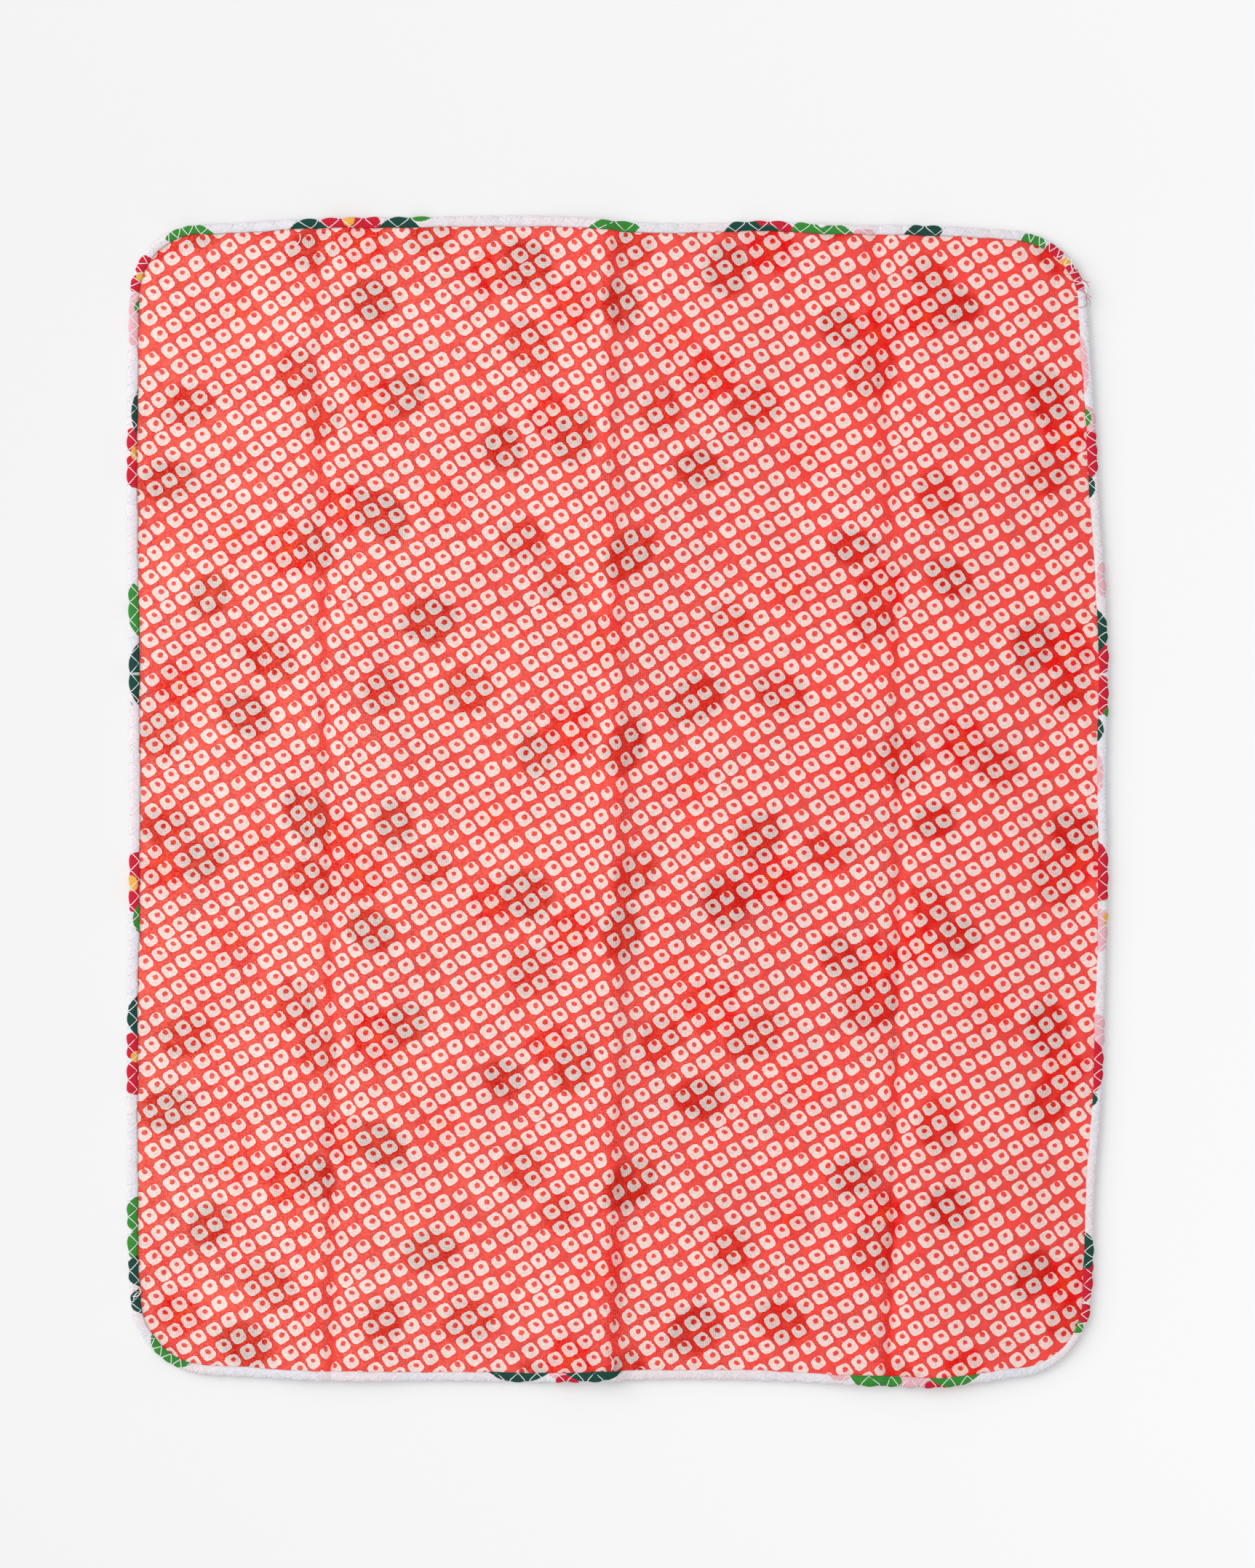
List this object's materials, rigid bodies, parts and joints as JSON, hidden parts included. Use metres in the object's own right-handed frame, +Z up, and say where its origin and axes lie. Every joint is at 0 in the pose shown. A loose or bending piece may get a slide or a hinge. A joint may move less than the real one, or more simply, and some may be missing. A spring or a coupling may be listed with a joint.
{
  "type": "cotton handkerchief",
  "caption": "Rounded oblong gauze handkerchief of two layers, opened out flat with pressed fold lines and an overcast turned hem.",
  "frame": {"origin": "on the surface below the middle of the outline", "axes": "+X across the cloth to the right, +Y along its length, +Z up out of the dotted front"},
  "size_m": [0.2506, 0.2992, 0.006],
  "materials": {
    "front_cloth": "red cotton gauze with off-white dots",
    "back_cloth": "pale cotton gauze with a floral print"
  },
  "bodies": {
    "root": {"front_cloth": "front_cloth", "back_cloth": "back_cloth"}
  },
  "joints": []
}
